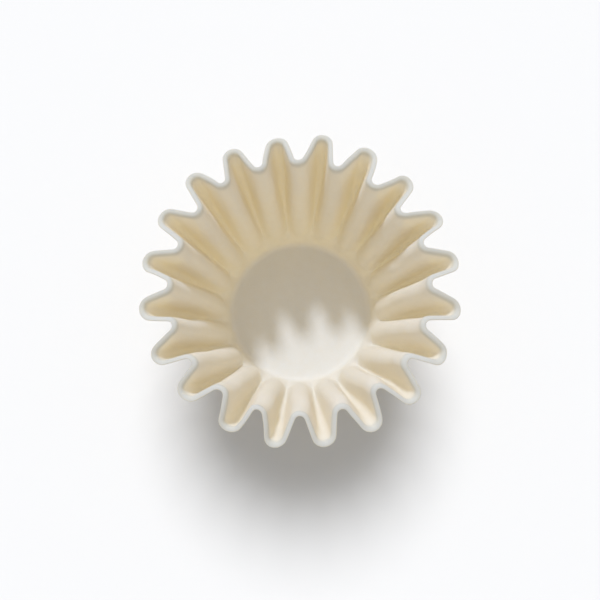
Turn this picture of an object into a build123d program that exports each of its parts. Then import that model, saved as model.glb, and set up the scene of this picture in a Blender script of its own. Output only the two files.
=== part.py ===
from build123d import *
from math import asin, atan2, cos, degrees, hypot, radians, sin, sqrt
import os

os.makedirs("parts", exist_ok=True)

# A flat-bottomed coffee filter: one disc of paper, pressed into a cup whose wall
# is gathered into round flutes. The origin is the middle of the underside.

# Driving dimensions, in millimetres and degrees
flute_count = 20
paper_thickness = 0.3
blank_diameter = 185.0     # the flat disc that the filter is pressed from
base_diameter = 52.0       # the part of the bottom that lies flat
heel_radius = 3.0          # outside of the bend from the bottom up into the wall
wall_lean = 15.0           # the wall's lean from upright, where it leaves the heel
rim_diameter = 102.0       # over the outer folds, at the rim
throat_diameter = 81.0     # across the inner folds, at the rim
crest_radius = 2.2         # outer face of an outer fold, above the rim
root_radius = 3.0          # outer face of an inner fold, above the rim
trim_allowance = 3.0       # how far the wall is drawn past the rim before it is trimmed

# The heel ends on the foot circle, where the flutes begin
half_pitch = 180 / flute_count
heel_sweep = 90 - wall_lean
foot_radius = base_diameter / 2 + heel_radius * cos(radians(wall_lean))
foot_height = heel_radius * (1 - sin(radians(wall_lean)))

# Every line up the wall has the same length, because the blank is round, so the
# outer folds, which lean out further, end lower than the inner ones
wall_length = (blank_diameter - base_diameter) / 2 - radians(heel_sweep) * heel_radius
crest_rise = sqrt(wall_length**2 - (rim_diameter / 2 - foot_radius) ** 2)
root_rise = sqrt(wall_length**2 - (throat_diameter / 2 - foot_radius) ** 2)
top_rise = root_rise + trim_allowance
top_height = foot_height + top_rise
top_crest = foot_radius + (rim_diameter / 2 - foot_radius) * top_rise / crest_rise
top_root = foot_radius + (throat_diameter / 2 - foot_radius) * top_rise / root_rise


def polar(radius, angle):
    """Point at a distance and an angle from the filter's axis."""
    return (radius * cos(radians(angle)), radius * sin(radians(angle)))


def fluted_outline(inset):
    """The wall's outline at the top height: round crests and roots joined by straight flanks."""
    crest_round = crest_radius - inset
    root_round = root_radius + inset
    crest_center = top_crest - crest_radius
    root_center = top_root + root_radius

    # The flank touches both rounds, and this is its turn from the root's own radius
    along = crest_center * cos(radians(half_pitch)) - root_center
    across = crest_center * sin(radians(half_pitch))
    crossing = asin((crest_round + root_round) / hypot(along, across))
    flank_turn = degrees(atan2(across, along) - crossing)
    root_sweep = 90 - flank_turn
    crest_sweep = root_sweep + half_pitch

    with BuildLine(Plane.XY.offset(top_height)) as outline:
        rounds = []
        for flute in range(flute_count):
            crest_angle = 2 * half_pitch * flute + half_pitch
            root_angle = crest_angle + half_pitch
            crest_at = polar(crest_center, crest_angle)
            root_at = polar(root_center, root_angle)
            rounds.append(CenterArc(crest_at, crest_round, crest_angle - crest_sweep, 2 * crest_sweep))
            rounds.append(CenterArc(root_at, root_round, root_angle + 180 + root_sweep, -2 * root_sweep))
        for before, after in zip(rounds, rounds[1:] + rounds[:1]):
            Line(before @ 1, after @ 0)
    return outline.wires()[0]


def foot_outline(inset, rim):
    """The foot circle as one arc for each edge of the rim's outline.

    Each arc has the same share of the circle as its edge has of the rim, so that
    neighbouring faces of the wall run smoothly into each other.
    """
    rounds = rim.edges().filter_by(GeomType.CIRCLE).sort_by(SortBy.RADIUS)
    degrees_per_length = 360 / rim.length
    crest_arc = rounds[0].length * degrees_per_length
    root_arc = rounds[-1].length * degrees_per_length
    flank_arc = half_pitch - (crest_arc + root_arc) / 2

    # Made outside a BuildLine, which would join the arcs into one circle
    arcs = []
    angle = half_pitch - crest_arc / 2
    for flute in range(flute_count):
        for arc in (crest_arc, flank_arc, root_arc, flank_arc):
            circle = Plane.XY.offset(foot_height)
            arcs.append(Edge.make_circle(foot_radius - inset, circle, angle, angle + arc))
            angle += arc
    return Wire(arcs)


def cup(inset):
    """Everything inside the paper's outer face, moved in by inset."""
    with BuildPart() as solid:
        # The flat bottom and the heel
        with BuildSketch(Plane.XZ):
            with BuildLine():
                bottom = Line((0, inset), (base_diameter / 2, inset))
                heel = CenterArc((base_diameter / 2, heel_radius), heel_radius - inset, -90, heel_sweep)
                Polyline(heel @ 1, (0, (heel @ 1).Y), bottom @ 0)
            make_face()
        revolve(axis=Axis.Z)
        # The wall, of straight lines from the foot circle up to the fluted outline
        rim = fluted_outline(inset)
        loft(sections=[Face(foot_outline(inset, rim)), Face(rim)], ruled=True)
    return solid.part


with BuildPart() as coffee_filter:
    add(cup(0))
    add(cup(paper_thickness), mode=Mode.SUBTRACT)
    # The rim is trimmed square to the paper, at the wall's length from the foot circle
    with BuildSketch(Plane.XZ):
        with BuildLine():
            edge = CenterArc((foot_radius, foot_height), wall_length, -45, 180)
            Polyline(edge @ 1, (0, 0), edge @ 0)
        make_face()
        split(bisect_by=Plane.YZ)
    revolve(axis=Axis.Z, mode=Mode.INTERSECT)

coffee_filter.part.label = "coffee_filter"
export_step(coffee_filter.part, "parts/coffee_filter.step")
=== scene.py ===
"""A flat-bottomed coffee filter: one disc of creped paper, pressed into a fluted cup.

The paper is made as one flute, from the middle of the bottom out to the rim and back
underneath, and a node tree sets that flute round the axis and gives the wall the small
unevenness of soft paper. A pale floor, a soft daylight and a camera that looks down into
the cup finish the scene. Lengths are in metres unless a name ends in _mm.
"""

import logging
from dataclasses import dataclass, field
from enum import Enum
from math import asin, atan2, cos, hypot, pi, radians, sin, sqrt

import bpy
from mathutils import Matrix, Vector


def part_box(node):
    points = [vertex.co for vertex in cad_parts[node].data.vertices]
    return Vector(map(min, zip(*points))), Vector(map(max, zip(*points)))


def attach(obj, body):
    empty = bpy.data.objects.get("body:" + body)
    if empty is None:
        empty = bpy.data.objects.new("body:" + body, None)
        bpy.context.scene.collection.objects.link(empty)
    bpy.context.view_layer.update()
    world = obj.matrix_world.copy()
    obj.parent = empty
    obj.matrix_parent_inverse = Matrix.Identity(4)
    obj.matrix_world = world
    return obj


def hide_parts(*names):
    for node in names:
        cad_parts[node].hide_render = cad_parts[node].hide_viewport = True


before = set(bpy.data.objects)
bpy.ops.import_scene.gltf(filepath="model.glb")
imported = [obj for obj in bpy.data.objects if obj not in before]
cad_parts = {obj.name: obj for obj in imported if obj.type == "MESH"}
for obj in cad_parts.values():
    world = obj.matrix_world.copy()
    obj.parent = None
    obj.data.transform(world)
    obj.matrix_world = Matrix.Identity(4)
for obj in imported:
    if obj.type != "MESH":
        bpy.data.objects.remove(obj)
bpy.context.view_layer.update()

LOG = logging.getLogger("coffee_filter")
MM = 0.001
NODE = "coffee_filter"
BLANK = "blank"
FLUTE = "flute"
TONE = "tone"
WELD = 2e-6


# ---------------------------------------------------------------- small helpers


def linear(hex_color: str) -> tuple[float, float, float, float]:
    """Turn an sRGB hex colour into the linear colour that a shader socket takes.

    Args:
        hex_color: Six hex digits, with or without a leading #.

    Returns:
        Red, green, blue and an alpha of one.
    """
    digits = hex_color.lstrip("#")
    parts = [int(digits[i:i + 2], 16) / 255 for i in (0, 2, 4)]
    lin = [c / 12.92 if c <= 0.04045 else ((c + 0.055) / 1.055) ** 2.4 for c in parts]
    return (lin[0], lin[1], lin[2], 1.0)


def add_node(tree: bpy.types.NodeTree, kind: str, settings: dict | None = None,
             links: dict | None = None) -> bpy.types.Node:
    """Add one node with its settings and links.

    Args:
        tree: The tree that the node joins.
        kind: The node's type name.
        settings: Attributes by name, and input values by the input's name or number.
        links: An output socket for each input, by the input's name or number.

    Returns:
        The new node.
    """
    node = tree.nodes.new(kind)
    for key, value in (settings or {}).items():
        if isinstance(key, int) or key in node.inputs:
            node.inputs[key].default_value = value
        else:
            setattr(node, key, value)
    for key, socket in (links or {}).items():
        tree.links.new(socket, node.inputs[key])
    return node


def ease(value: float, low: float, high: float) -> float:
    """Rise smoothly from 0 to 1 as value goes from low to high."""
    share = min(1.0, max(0.0, (value - low) / (high - low)))
    return share * share * (3 - 2 * share)


def mix(low: float, high: float, share: float) -> float:
    """Go in a straight line from low to high."""
    return low + (high - low) * share


# ---------------------------------------------------------------- finishes


@dataclass(frozen=True)
class CrepedPaper:
    """Unsized filter paper, oxygen-whitened and creped on the drying cylinder.

    The pulp is off-white and soft, and what light it lets through comes out golden, so
    the flutes glow where a lamp stands behind them. The inner face is taken to be closed
    up by the die, and lets in less light than the looser outer one. The cut edge is
    painted greyer, as painted shade for the band of the rolled rim. The crepe shows as
    fine, uneven wrinkles that run one way across the blank, the loose fibres as a dull
    matt nap, and the pulp's uneven lie as faint clouds. The real crepe is about half a
    millimetre apart, and is drawn at 0.8 mm so that it shows.

    Args:
        name: The material's name.
        pulp: Where the pulp lies thick, in sRGB hex.
        thin_pulp: Where it lies thin.
        loose_pulp: Where the face is loosest.
        edge: At the cut edge, painted grey as painted shade for the rim's band.
        glow: The colour of the light that comes through.
        inner_share: Share of the light that goes in through the inner face.
        outer_share: The same share for the outer face.
        flat_share: The same share for both faces of the dense, flat bottom.
        crepe_pitch_mm: Distance between two wrinkles.
        crepe_run_mm: Length of a wrinkle.
        crepe_height_mm: Height of a wrinkle.
        fibre_mm: Size of the nap.
        fibre_height_mm: Height of the nap.
        cloud_mm: Size of the pulp's clouds.
        formation: Fibre's share in the pulp's unevenness, beside the clouds.
        thin_to_thick: Where that unevenness turns from thin pulp to thick.
    """

    name: str = "creped_filter_paper"
    pulp: str = "#FFFCF4"
    thin_pulp: str = "#FCF7EB"
    loose_pulp: str = "#FFFBF0"
    # Painted shade: the cut edge's grey stands in for the shaded band of the rolled rim
    edge: str = "#E4E4DD"
    glow: str = "#FFEDB4"
    inner_share: float = 0.24
    outer_share: float = 0.40
    flat_share: float = 0.19
    crepe_pitch_mm: float = 0.8
    crepe_run_mm: float = 5.0
    crepe_height_mm: float = 0.012
    fibre_mm: float = 0.5
    fibre_height_mm: float = 0.012
    cloud_mm: float = 3.5
    formation: float = 0.55
    thin_to_thick: tuple[float, float] = (0.35, 0.65)

    def material(self) -> bpy.types.Material:
        """Build the paper's material on the blank's own flat coordinates.

        Returns:
            The finished material.
        """
        material = bpy.data.materials.new(self.name)
        material.use_nodes = True
        tree = material.node_tree
        tree.nodes.clear()
        place = add_node(tree, "ShaderNodeAttribute", {"attribute_name": BLANK})

        clouds = add_node(tree, "ShaderNodeTexNoise",
                          {"Scale": 1 / (self.cloud_mm * MM), "Detail": 3.0, "Roughness": 0.6},
                          {"Vector": place.outputs["Vector"]})
        fibres = add_node(tree, "ShaderNodeTexNoise",
                          {"Scale": 1 / (self.fibre_mm * MM), "Detail": 2.0},
                          {"Vector": place.outputs["Vector"]})
        formation = add_node(tree, "ShaderNodeMix", {"data_type": "FLOAT", 0: self.formation},
                             {2: clouds.outputs["Fac"], 3: fibres.outputs["Fac"]})
        color = add_node(tree, "ShaderNodeValToRGB", links={"Fac": formation.outputs[0]})
        for stop, position, pulp in zip(color.color_ramp.elements, self.thin_to_thick,
                                        (self.thin_pulp, self.pulp)):
            stop.position = position
            stop.color = linear(pulp)

        tone = add_node(tree, "ShaderNodeAttribute", {"attribute_name": TONE})
        parts = add_node(tree, "ShaderNodeSeparateXYZ", links={0: tone.outputs["Vector"]})
        faced = add_node(tree, "ShaderNodeMix", {"data_type": "RGBA", 7: linear(self.loose_pulp)},
                         {0: parts.outputs["X"], 6: color.outputs["Color"]})
        # Painted shade: near the rim the colour turns to the greyer edge colour, standing in for the rim
        # band's shade
        painted_edge_shade = add_node(tree, "ShaderNodeMix", {"data_type": "RGBA", 7: linear(self.edge)},
                         {0: parts.outputs["Y"], 6: faced.outputs[2]})

        face = add_node(tree, "ShaderNodeMapRange",
                        {"To Min": self.inner_share, "To Max": self.outer_share},
                        {"Value": parts.outputs["X"]})
        share = add_node(tree, "ShaderNodeMix", {"data_type": "FLOAT", 3: self.flat_share},
                         {0: parts.outputs["Z"], 2: face.outputs[0]})

        per_wrinkle = (1 / (self.crepe_pitch_mm * MM), 1 / (self.crepe_run_mm * MM), 1.0)
        along = add_node(tree, "ShaderNodeMapping", {"Scale": per_wrinkle},
                         {"Vector": place.outputs["Vector"]})
        crepe = add_node(tree, "ShaderNodeTexNoise", {"Scale": 1.0, "Detail": 2.0, "Distortion": 0.35},
                         {"Vector": along.outputs["Vector"]})
        nap = add_node(tree, "ShaderNodeBump", {"Strength": 1.0, "Distance": self.fibre_height_mm * MM},
                       {"Height": fibres.outputs["Fac"]})
        wrinkle = add_node(tree, "ShaderNodeBump",
                           {"Strength": 1.0, "Distance": self.crepe_height_mm * MM},
                           {"Height": crepe.outputs["Fac"], "Normal": nap.outputs["Normal"]})

        front = add_node(tree, "ShaderNodeBsdfPrincipled",
                         {"Roughness": 0.92, "IOR": 1.45, "Specular IOR Level": 0.25,
                          "Sheen Weight": 0.05, "Sheen Roughness": 0.6},
                         {"Base Color": painted_edge_shade.outputs[2], "Normal": wrinkle.outputs["Normal"]})
        through = add_node(tree, "ShaderNodeBsdfTranslucent", {"Color": linear(self.glow)},
                           {"Normal": wrinkle.outputs["Normal"]})
        paper = add_node(tree, "ShaderNodeMixShader", links={
            0: share.outputs[0], 1: front.outputs["BSDF"], 2: through.outputs["BSDF"]})
        add_node(tree, "ShaderNodeOutputMaterial", links={"Surface": paper.outputs[0]})
        return material


@dataclass(frozen=True)
class PaintedFloor:
    """A studio table sprayed with flat white paint, which fades into the backdrop.

    Args:
        name: The material's name.
        paint: The paint, in sRGB hex.
    """

    name: str = "flat_white_paint"
    paint: str = "#CECDCA"

    def material(self) -> bpy.types.Material:
        """Build the floor's plain matt white.

        Returns:
            The finished material.
        """
        material = bpy.data.materials.new(self.name)
        material.use_nodes = True
        shader = material.node_tree.nodes["Principled BSDF"]
        shader.inputs["Base Color"].default_value = linear(self.paint)
        shader.inputs["Roughness"].default_value = 1.0
        shader.inputs["Specular IOR Level"].default_value = 0.0
        return material


# ---------------------------------------------------------------- the paper


class Side(Enum):
    """The two faces of the sheet, as the side of its middle that each lies on."""

    INSIDE = -1.0
    OUTSIDE = 1.0


@dataclass
class FoldedWall:
    """The shape of one flute, as the place of each point of the flat blank once it is pressed.

    Args:
        flutes: How many flutes go round the wall.
        blank_mm: Radius of the flat disc that the filter is pressed from.
        flat_mm: Radius of the bottom that stays flat.
        heel_mm: Radius of the bend from the bottom into the wall.
        lean: Lean of the wall from upright where it leaves the heel, in radians.
        crest_mm: Distance from the axis to an outer fold, under the lip.
        root_mm: Distance from the axis to an inner fold, under the lip.
        growth: How the depth of the folds grows up the wall, as a power of the way up.
        crest_round_mm: Radius of the outer folds, at the heel and under the lip.
        root_round_mm: Radius of the inner folds, at the heel and under the lip.
        knuckle_mm: Where up the wall the folds start and are fully formed.
        knuckle_depth: Depth of the folds below the pinch, as a share of what it would be.
        knuckle_round_mm: Radius that the outer folds have more of, below the pinch.
        pinch_mm: Where up the wall the outer folds tighten from soft hollows into creases.
        lip_round_mm: Radius of the bend by which the soft edge leans out.
        lip_sweep: How far the edge leans out, in radians.
        lip_flat_mm: Width of the edge past that bend.
        fold_looseness: How loose the inner face is deep in a flute, beside the outer face.
        fold_share: Where across the half flute that looseness starts and is whole.
        fold_up_mm: Where up the wall it starts and is whole.
        fold_below_rim_mm: How far below the rim it ends, and where it is still whole.
        flat_up_mm: How far up the wall the bottom's dense pulp fades out.
        edge_mm: How far below and above the wall's top the edge's painted grey shade fades in.
    """

    flutes: int = 20
    blank_mm: float = 92.5
    flat_mm: float = 26.6
    heel_mm: float = 2.85
    lean: float = radians(15)
    crest_mm: float = 51.2
    root_mm: float = 40.8
    growth: float = 0.66
    crest_round_mm: tuple[float, float] = (0.3, 2.4)
    root_round_mm: tuple[float, float] = (4.6, 3.1)
    knuckle_mm: tuple[float, float] = (0.3, 2.8)
    knuckle_depth: float = 0.62
    knuckle_round_mm: float = 2.7
    pinch_mm: tuple[float, float] = (5.8, 8.3)
    lip_round_mm: float = 1.0
    lip_sweep: float = radians(70)
    lip_flat_mm: float = 0.6
    fold_looseness: float = 0.15
    fold_share: tuple[float, float] = (0.42, 0.88)
    fold_up_mm: tuple[float, float] = (6, 26)
    fold_below_rim_mm: tuple[float, float] = (1, 9)
    flat_up_mm: float = 1.0
    edge_mm: tuple[float, float] = (0.8, 0.3)
    half_pitch: float = field(init=False)
    heel_run_mm: float = field(init=False)
    foot_mm: float = field(init=False)
    wall_mm: float = field(init=False)

    def __post_init__(self) -> None:
        """Work out the sizes that follow from the driving ones."""
        self.half_pitch = pi / self.flutes
        self.heel_run_mm = (pi / 2 - self.lean) * self.heel_mm
        self.foot_mm = self.flat_mm + self.heel_mm * cos(self.lean)
        lip_run = self.lip_round_mm * self.lip_sweep + self.lip_flat_mm
        self.wall_mm = self.blank_mm - self.flat_mm - self.heel_run_mm - lip_run

    def _wave(self, crest: float, root: float, crest_round: float, root_round: float,
              share: float) -> tuple[float, float]:
        """Find a point of a half flute made of two rounds and the straight flank between them.

        Args:
            crest: Distance from the axis to the outer fold.
            root: Distance from the axis to the inner fold.
            crest_round: Radius of the outer fold.
            root_round: Radius of the inner fold.
            share: How far along the half flute the point lies, from the root to the crest.

        Returns:
            The point's x and y, with the root on the x axis.
        """
        crest_reach = crest - crest_round
        crest_at = (crest_reach * cos(self.half_pitch), crest_reach * sin(self.half_pitch))
        root_at = root + root_round
        apart = hypot(crest_at[0] - root_at, crest_at[1])
        flank_turn = (atan2(crest_at[1], crest_at[0] - root_at)
                      - asin((crest_round + root_round) / apart))
        root_sweep = pi / 2 - flank_turn
        crest_sweep = root_sweep + self.half_pitch
        flank = sqrt(apart ** 2 - (crest_round + root_round) ** 2)
        root_run = root_round * root_sweep
        total = root_run + flank + crest_round * crest_sweep
        run = share * total
        if run < root_run:
            turn = run / root_round
            return root_at - root_round * cos(turn), root_round * sin(turn)
        if run < root_run + flank:
            start = (root_at - root_round * cos(root_sweep), root_round * sin(root_sweep))
            step = run - root_run
            return start[0] + step * cos(flank_turn), start[1] + step * sin(flank_turn)
        turn = self.half_pitch - (total - run) / crest_round
        return crest_at[0] + crest_round * cos(turn), crest_at[1] + crest_round * sin(turn)

    def plan(self, blank_radius: float, share: float) -> tuple[float, float]:
        """Find where a point of the blank lies, seen from above, in millimetres.

        Args:
            blank_radius: The point's distance from the middle of the flat blank.
            share: Its place across the half flute, from the root to the crest.

        Returns:
            Its x and y, with the root on the x axis.
        """
        angle = share * self.half_pitch
        if blank_radius <= self.flat_mm:
            return blank_radius * cos(angle), blank_radius * sin(angle)
        up_heel = blank_radius - self.flat_mm
        if up_heel < self.heel_run_mm:
            radius = self.flat_mm + self.heel_mm * sin(up_heel / self.heel_mm)
        else:
            middle_slope = ((self.crest_mm + self.root_mm) / 2 - self.foot_mm) / self.wall_mm
            radius = self.foot_mm + (up_heel - self.heel_run_mm) * middle_slope
        up_wall = max(0.0, up_heel - self.heel_run_mm)
        up_share = up_wall / self.wall_mm
        pinched = ease(up_wall, *self.pinch_mm)
        grown = max(up_share, self.knuckle_mm[1] / self.wall_mm) ** self.growth
        depth = (self.crest_mm - self.root_mm) * grown * mix(self.knuckle_depth, 1.0, pinched)
        crest_round = mix(*self.crest_round_mm, up_share) + mix(self.knuckle_round_mm, 0.0, pinched)
        crest_x, crest_y = self._wave(
            radius + depth / 2, radius - depth / 2, crest_round, mix(*self.root_round_mm, up_share), share)
        formed = ease(up_heel - self.heel_run_mm, *self.knuckle_mm)
        return (mix(radius * cos(angle), crest_x, formed), mix(radius * sin(angle), crest_y, formed))

    def lip(self) -> list[tuple[float, float, float]]:
        """Follow the soft edge as it leans out from the top of the wall.

        Returns:
            For each ring of the lip, how far it rises, how far it reaches out and how far
            it has turned, in millimetres and radians.
        """
        rings = []
        for step in range(1, 6):
            turn = self.lip_sweep * step / 5
            rings.append((self.lip_round_mm * sin(turn), self.lip_round_mm * (1 - cos(turn)), turn))
        rise, reach, turn = rings[-1]
        rings.append((rise + self.lip_flat_mm * cos(turn), reach + self.lip_flat_mm * sin(turn), turn))
        return rings

    def tone(self, blank_radius: float, share: float, side: "Side") -> tuple[float, float, float]:
        """Say how the press has changed the pulp at a point.

        Args:
            blank_radius: The point's distance from the middle of the flat blank.
            share: Its place across the half flute, from the root to the crest.
            side: The face of the sheet that it lies on.

        Returns:
            How loose the face is, how near the cut edge it lies for its painted grey shade, and how flat.
        """
        up_wall = blank_radius - self.flat_mm - self.heel_run_mm
        below_rim = self.wall_mm - up_wall
        flat = 1 - ease(up_wall, -self.heel_run_mm, self.flat_up_mm)
        # Painted shade: how near the rim the colour turns grey, for the shaded band of the rolled edge
        edge = ease(-below_rim, -self.edge_mm[0], self.edge_mm[1])
        loose = 1.0
        if side is Side.INSIDE:
            loose = (self.fold_looseness * ease(share, *self.fold_share)
                     * ease(up_wall, *self.fold_up_mm) * ease(below_rim, *self.fold_below_rim_mm))
        return loose, edge, flat

    def line_up(self, share: float, radii: list[float]) -> list[Vector]:
        """Follow one straight line of the blank, from its middle out to its edge.

        The paper doesn't stretch, so what a step doesn't use up sideways goes into height.

        Args:
            share: The line's place across the half flute, from the root to the crest.
            radii: The distances along the line, rising from zero.

        Returns:
            A point for each distance, in millimetres.
        """
        points = [Vector((0.0, 0.0, 0.0))]
        fine_steps = 6
        for low, high in zip(radii, radii[1:]):
            height = points[-1].z
            before = self.plan(low, share)
            for step in range(fine_steps):
                after = self.plan(mix(low, high, (step + 1) / fine_steps), share)
                sideways = hypot(after[0] - before[0], after[1] - before[1])
                height += sqrt(max(0.0, ((high - low) / fine_steps) ** 2 - sideways ** 2))
                before = after
            points.append(Vector((before[0], before[1], height)))
        return points


@dataclass
class FilterPaper:
    """The filter's one sheet, built as a single flute and set round the axis.

    Args:
        wall: The shape of the wall and the bottom.
        thickness_mm: How thick the soft sheet is.
        across: How many strips a half flute is cut into.
        seed: Starts the unevenness of the wall.
        sway_mm: Reach of the slow unevenness of the whole wall at the rim.
        sway_size_mm: Size of that unevenness along the sheet.
        ripple_mm: Reach of the quicker unevenness from flute to flute at the rim.
        ripple_size_mm: Size of that unevenness along the sheet.
        firm_mm: Height up to which the bottom's heel keeps the wall in place.
        flat_rings: Rings of the flat bottom, as shares of its radius.
        heel_rings: How many rings the heel has.
        fine_mm: How far up the wall the rings stay close, past the knuckles.
        fine_rings: How many rings that stretch has.
        upper_rings: How many rings the wall has above it.
    """

    wall: FoldedWall = field(default_factory=FoldedWall)
    thickness_mm: float = 0.35
    across: int = 16
    seed: int = 4
    sway_mm: float = 3.0
    sway_size_mm: float = 30.0
    ripple_mm: float = 1.5
    ripple_size_mm: float = 12.0
    firm_mm: float = 4.0
    flat_rings: tuple[float, ...] = (0, 0.2, 0.4, 0.6, 0.78, 0.92, 1)
    heel_rings: int = 6
    fine_mm: float = 13.2
    fine_rings: int = 22
    upper_rings: int = 31

    def radii(self) -> list[float]:
        """List the blank's rings, close together in the heel, the knuckles and at the rim.

        Returns:
            Radii from the middle to the edge, in millimetres.
        """
        wall = self.wall
        radii = [wall.flat_mm * share for share in self.flat_rings]
        for run, rings in ((wall.heel_run_mm, self.heel_rings), (self.fine_mm, self.fine_rings),
                           (wall.wall_mm - self.fine_mm, self.upper_rings)):
            start = radii[-1]
            radii += [start + run * (ring + 1) / rings for ring in range(rings)]
        return radii

    def flute_mesh(self) -> bpy.types.Mesh:
        """Build one flute with both faces of the sheet and a rounded edge at the rim.

        Returns:
            A mesh in metres that reaches from one root to the next, with the blank's
            coordinates stored on its points.
        """
        radii = self.radii()
        columns = 2 * self.across + 1
        lines = []
        for column in range(columns):
            share = column / self.across
            half = self.wall.line_up(min(share, 2 - share), radii)
            if share > 1:
                turn = 2 * self.wall.half_pitch
                half = [self._turned(Vector((point.x, -point.y, point.z)), turn) for point in half]
            lines.append(half)

        half_thick = self.thickness_mm / 2
        points, places, tones, faces = [], [], [], []
        for column, line in enumerate(lines):
            share = column / self.across
            angle = share * self.wall.half_pitch
            along = [(line[min(i + 1, len(line) - 1)] - line[max(i - 1, 0)]).normalized()
                     for i in range(len(line))]
            outward = self._outward(lines, column, along)
            sheet = list(zip(line, outward, radii))
            end, up, out = line[-1], along[-1], outward[-1]
            # The lip is too narrow to show its crepe, so its place on the blank just runs on
            for rise, reach, turn in self.wall.lip():
                sheet.append((end + up * rise + out * reach, out * cos(turn) - up * sin(turn),
                              sheet[-1][2] + (rise + reach) / 4))
            edge, facing, last_radius = sheet[-1]
            onward = up * cos(turn) + out * sin(turn)
            rows = [(point - normal * half_thick, radius, Side.INSIDE) for point, normal, radius in sheet]
            rows += [(edge + (facing * sin(turn) + onward * cos(turn)) * half_thick,
                      last_radius, Side.OUTSIDE) for turn in (-pi / 4, 0.0, pi / 4)]
            rows += [(point + normal * half_thick, radius, Side.OUTSIDE)
                     for point, normal, radius in reversed(sheet)]
            for point, radius, side in rows:
                points.append((point + Vector((0, 0, half_thick))) * MM)
                places.append((radius * cos(angle) * MM, radius * sin(angle) * MM, 0.0))
                tones.append(self.wall.tone(radius, min(share, 2 - share), side))
        count = len(points) // columns
        for column in range(columns - 1):
            for row in range(count - 1):
                low = column * count + row
                faces.append((low, low + 1, low + count + 1, low + count))
        mesh = bpy.data.meshes.new("one_flute")
        mesh.from_pydata(points, [], faces)
        for name, vectors in ((BLANK, places), (TONE, tones)):
            stored = mesh.attributes.new(name, "FLOAT_VECTOR", "POINT")
            stored.data.foreach_set("vector", [value for vector in vectors for value in vector])
        return mesh

    def _outward(self, lines: list[list[Vector]], column: int, along: list[Vector]) -> list[Vector]:
        """Find the sheet's direction outwards at each point of a line.

        Args:
            lines: The lines of one flute, from root to root.
            column: The line's place among them.
            along: The line's own direction at each point.

        Returns:
            A unit vector for each point, down under the bottom and outwards on the wall.
        """
        turn = 2 * self.wall.half_pitch
        last = len(lines) - 1
        found = []
        for row, direction in enumerate(along):
            if row == 0 or lines[column][row].z < 1e-6:
                found.append(Vector((0, 0, -1)))
                continue
            before = lines[column - 1][row] if column else self._turned(lines[last - 1][row], -turn)
            after = lines[column + 1][row] if column < last else self._turned(lines[1][row], turn)
            found.append((after - before).cross(direction).normalized())
        return found

    @staticmethod
    def _turned(point: Vector, angle: float) -> Vector:
        """Turn a point round the axis."""
        return Vector((point.x * cos(angle) - point.y * sin(angle),
                       point.x * sin(angle) + point.y * cos(angle), point.z))

    def ring_tree(self) -> bpy.types.NodeTree:
        """Build the node tree that sets a flute round the axis and makes the wall uneven.

        Returns:
            A geometry node tree with named inputs for its sizes.
        """
        tree = bpy.data.node_groups.new("fluted_ring", "GeometryNodeTree")
        for name, kind in (("Flute", "Geometry"), ("Flutes", "Int"), ("Seed", "Float"),
                           ("Firm Height", "Float"), ("Rim Height", "Float"),
                           ("Sway", "Float"), ("Sway Size", "Float"),
                           ("Ripple", "Float"), ("Ripple Size", "Float"), ("Paper", "Material")):
            tree.interface.new_socket(name, in_out="INPUT", socket_type=f"NodeSocket{kind}")
        tree.interface.new_socket("Sheet", in_out="OUTPUT", socket_type="NodeSocketGeometry")
        given = add_node(tree, "NodeGroupInput").outputs

        # One copy of the flute for each turn of the pitch
        pitch = add_node(tree, "ShaderNodeMath", {"operation": "DIVIDE", 0: 2 * pi}, {1: given["Flutes"]})
        spots = add_node(tree, "GeometryNodePoints", links={"Count": given["Flutes"]})
        index = add_node(tree, "GeometryNodeInputIndex")
        turn = add_node(tree, "ShaderNodeMath", {"operation": "MULTIPLY"},
                        {0: index.outputs[0], 1: pitch.outputs[0]})
        turn_z = add_node(tree, "ShaderNodeCombineXYZ", links={"Z": turn.outputs[0]})
        copies = add_node(tree, "GeometryNodeInstanceOnPoints", links={
            "Points": spots.outputs[0], "Instance": given["Flute"], "Rotation": turn_z.outputs[0]})
        marked = add_node(tree, "GeometryNodeStoreNamedAttribute",
                          {"domain": "INSTANCE", "data_type": "FLOAT", "Name": FLUTE},
                          {"Geometry": copies.outputs[0], "Value": turn.outputs[0]})
        joined = add_node(tree, "GeometryNodeRealizeInstances", links={"Geometry": marked.outputs[0]})

        # The blank's coordinates turn with each copy, so that the crepe runs on across the sheet
        place = add_node(tree, "GeometryNodeInputNamedAttribute",
                         {"data_type": "FLOAT_VECTOR", "Name": BLANK})
        own_turn = add_node(tree, "GeometryNodeInputNamedAttribute", {"data_type": "FLOAT", "Name": FLUTE})
        turned = add_node(tree, "ShaderNodeVectorRotate", {"rotation_type": "Z_AXIS"},
                          {"Vector": place.outputs[0], "Angle": own_turn.outputs[0]})
        placed = add_node(tree, "GeometryNodeStoreNamedAttribute",
                          {"domain": "POINT", "data_type": "FLOAT_VECTOR", "Name": BLANK},
                          {"Geometry": joined.outputs[0], "Value": turned.outputs[0]})
        welded = add_node(tree, "GeometryNodeMergeByDistance", {"Distance": WELD},
                          {"Geometry": placed.outputs[0]})

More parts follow.
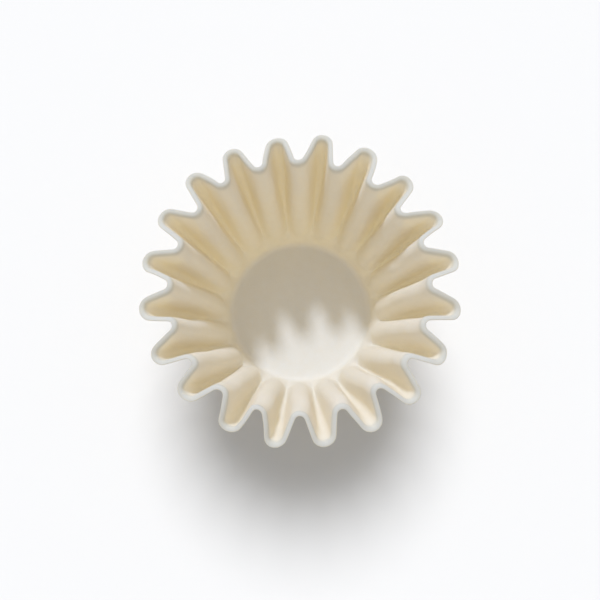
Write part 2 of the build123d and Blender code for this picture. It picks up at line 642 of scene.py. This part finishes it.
        # Soft paper: a slow sway of the whole wall and a quicker one from flute to flute
        position = add_node(tree, "GeometryNodeInputPosition")
        height = add_node(tree, "ShaderNodeSeparateXYZ", links={0: position.outputs[0]})
        freedom = add_node(tree, "ShaderNodeMapRange", {"clamp": True}, {
            "Value": height.outputs["Z"], "From Min": given["Firm Height"],
            "From Max": given["Rim Height"]})
        moved = welded.outputs[0]
        for amount, size, shift in (("Sway", "Sway Size", 0.0), ("Ripple", "Ripple Size", 31.0)):
            scale = add_node(tree, "ShaderNodeMath", {"operation": "DIVIDE", 0: 1.0}, {1: given[size]})
            start = add_node(tree, "ShaderNodeMath", {"operation": "ADD", 1: shift}, {0: given["Seed"]})
            noise = add_node(tree, "ShaderNodeTexNoise",
                             {"noise_dimensions": "4D", "Detail": 0.0},
                             {"Vector": position.outputs[0], "W": start.outputs[0],
                              "Scale": scale.outputs[0]})
            centered = add_node(tree, "ShaderNodeVectorMath", {"operation": "SUBTRACT", 1: (0.5, 0.5, 0.5)},
                                {0: noise.outputs["Color"]})
            reach = add_node(tree, "ShaderNodeMath", {"operation": "MULTIPLY"},
                             {0: freedom.outputs[0], 1: given[amount]})
            offset = add_node(tree, "ShaderNodeVectorMath", {"operation": "SCALE"},
                              {0: centered.outputs[0], "Scale": reach.outputs[0]})
            moved = add_node(tree, "GeometryNodeSetPosition",
                             links={"Geometry": moved, "Offset": offset.outputs[0]}).outputs[0]

        smooth = add_node(tree, "GeometryNodeSetShadeSmooth", links={0: moved})
        whole = add_node(tree, "GeometryNodeRealizeInstances", links={0: smooth.outputs[0]})
        dressed = add_node(tree, "GeometryNodeSetMaterial",
                           links={"Geometry": whole.outputs[0], "Material": given["Paper"]})
        add_node(tree, "NodeGroupOutput", links={0: dressed.outputs[0]})
        return tree

    def build(self, paper: bpy.types.Material) -> bpy.types.Object:
        """Set the flute round the axis and turn the result into a plain mesh.

        Args:
            paper: The sheet's material.

        Returns:
            The whole sheet as one object, in place.
        """
        maker = bpy.data.objects.new("flute_maker", self.flute_mesh())
        bpy.context.scene.collection.objects.link(maker)
        tree = self.ring_tree()
        modifier = maker.modifiers.new("ring", "NODES")
        modifier.node_group = tree
        values = {"Flutes": self.wall.flutes, "Seed": float(self.seed), "Firm Height": self.firm_mm * MM,
                  "Rim Height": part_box(NODE)[1][2], "Sway": self.sway_mm * MM,
                  "Sway Size": self.sway_size_mm * MM, "Ripple": self.ripple_mm * MM,
                  "Ripple Size": self.ripple_size_mm * MM, "Paper": paper}
        for item in tree.interface.items_tree:
            if item.in_out == "INPUT" and item.name in values:
                modifier[item.identifier] = values[item.name]
        bpy.context.view_layer.update()
        made = maker.evaluated_get(bpy.context.evaluated_depsgraph_get())
        sheet = bpy.data.objects.new("paper_sheet", bpy.data.meshes.new_from_object(made))
        bpy.context.scene.collection.objects.link(sheet)
        bpy.data.objects.remove(maker)
        return sheet

    def dress(self, sheet: bpy.types.Object) -> None:
        """Hang the sheet on the root body and hide the imported part that it stands for.

        Args:
            sheet: The sheet's object.
        """
        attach(sheet, "root")
        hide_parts(NODE)


# ---------------------------------------------------------------- the studio


class Lit(Enum):
    """What a lamp shines on, as a studio's flags and cards would keep it to one thing."""

    PAPER = "paper"
    FLOOR = "floor"


@dataclass(frozen=True)
class Lamp:
    """A far lamp, as a direction and the width of its disc in the sky.

    Args:
        name: The lamp's name.
        lit: What it shines on.
        elevation: Height of the lamp above the floor, in radians.
        left: How far to the left of straight behind it stands, in radians.
        strength: Power on each square metre that faces it.
        width: How wide it looks, in radians.
        color: Its light, in sRGB hex.
    """

    name: str
    lit: Lit
    elevation: float
    left: float
    strength: float
    width: float
    color: str

    def build(self, receiver: bpy.types.Object) -> None:
        """Add the lamp and keep its light to one object.

        Args:
            receiver: The object that the lamp shines on.
        """
        light = bpy.data.lights.new(self.name, "SUN")
        light.energy = self.strength
        light.angle = self.width
        light.color = linear(self.color)[:3]
        lamp = bpy.data.objects.new(self.name, light)
        towards = Vector((-sin(self.left) * cos(self.elevation),
                          cos(self.left) * cos(self.elevation), sin(self.elevation)))
        lamp.rotation_euler = towards.to_track_quat("Z", "Y").to_euler()
        bpy.context.scene.collection.objects.link(lamp)
        shone_on = bpy.data.collections.new(f"{self.name}_shines_on")
        shone_on.objects.link(receiver)
        lamp.light_linking.receiver_collection = shone_on


@dataclass
class Studio:
    """The floor, the lamps and the camera.

    Args:
        elevation: How high the camera looks down from, in radians.
        distance: From the camera to the point it looks at.
        target_height: Height of that point on the filter's axis.
        lens_mm: The lens, for a sensor 36 mm wide.
        sky_strength: Brightness of the even sky.
        sky_color: Its light, in sRGB hex.
        backdrop: What the camera sees past the floor, in sRGB hex.
        floor_reach: Half the floor's width, so wide that its far edge is lost in the backdrop.
        lamps: The small lamp that looks into the cup and the broad one over the floor.
    """

    elevation: float = radians(81)
    distance: float = 0.250
    target_height: float = 0.030
    lens_mm: float = 40.2
    sky_strength: float = 0.605
    sky_color: str = "#F6F8FD"
    backdrop: str = "#FCFDFD"
    floor_reach: float = 40.0
    lamps: tuple[Lamp, ...] = (
        Lamp("window", Lit.PAPER, radians(49.3), radians(17.5), 2.08, radians(5.8), "#DAE7FF"),
        Lamp("overhead_softbox", Lit.FLOOR, radians(56.5), radians(2), 4.08, radians(31), "#F7F9FF"),
    )

    def place_camera(self) -> None:
        """Add the camera and make it the scene's own."""
        camera = bpy.data.cameras.new("camera")
        camera.lens = self.lens_mm
        camera.sensor_width = 36.0
        holder = bpy.data.objects.new("camera", camera)
        target = Vector((0.0, 0.0, self.target_height))
        back = Vector((0.0, -cos(self.elevation), sin(self.elevation)))
        holder.location = target + back * self.distance
        holder.rotation_euler = back.to_track_quat("Z", "Y").to_euler()
        bpy.context.scene.collection.objects.link(holder)
        bpy.context.scene.camera = holder

    def light(self, paper: bpy.types.Object, floor: bpy.types.Object) -> None:
        """Add the lamps and an even pale sky.

        Args:
            paper: The filter's sheet.
            floor: The floor under it.
        """
        receivers = {Lit.PAPER: paper, Lit.FLOOR: floor}
        for lamp in self.lamps:
            lamp.build(receivers[lamp.lit])

        world = bpy.data.worlds.new("pale_sky")
        bpy.context.scene.world = world
        world.use_nodes = True
        tree = world.node_tree
        tree.nodes.clear()
        path = add_node(tree, "ShaderNodeLightPath")
        sky = add_node(tree, "ShaderNodeBackground",
                       {"Color": linear(self.sky_color), "Strength": self.sky_strength})
        backdrop = add_node(tree, "ShaderNodeBackground",
                            {"Color": linear(self.backdrop), "Strength": 1.0})
        seen = add_node(tree, "ShaderNodeMixShader", links={
            0: path.outputs["Is Camera Ray"], 1: sky.outputs[0], 2: backdrop.outputs[0]})
        add_node(tree, "ShaderNodeOutputWorld", links={"Surface": seen.outputs[0]})

    def lay_floor(self) -> bpy.types.Object:
        """Lay a wide pale floor under the filter.

        Returns:
            The floor.
        """
        reach = self.floor_reach
        mesh = bpy.data.meshes.new("floor")
        mesh.from_pydata([(-reach, -reach, 0), (reach, -reach, 0), (reach, reach, 0), (-reach, reach, 0)],
                         [], [(0, 1, 2, 3)])
        floor = bpy.data.objects.new("floor", mesh)
        floor.data.materials.append(PaintedFloor().material())
        bpy.context.scene.collection.objects.link(floor)
        return floor


def main() -> None:
    """Build the filter and its studio, and report each piece."""
    logging.basicConfig(level=logging.INFO, format="%(name)s: %(message)s")
    bpy.context.scene.view_settings.view_transform = "Standard"

    filter_paper = FilterPaper()
    sheet = filter_paper.build(CrepedPaper().material())
    filter_paper.dress(sheet)
    LOG.info("%s: %d faces", sheet.name, len(sheet.data.polygons))

    studio = Studio()
    studio.place_camera()
    studio.light(sheet, studio.lay_floor())
    LOG.info("studio: camera, %d lamps, sky and floor", len(studio.lamps))


if __name__ == "__main__":
    main()
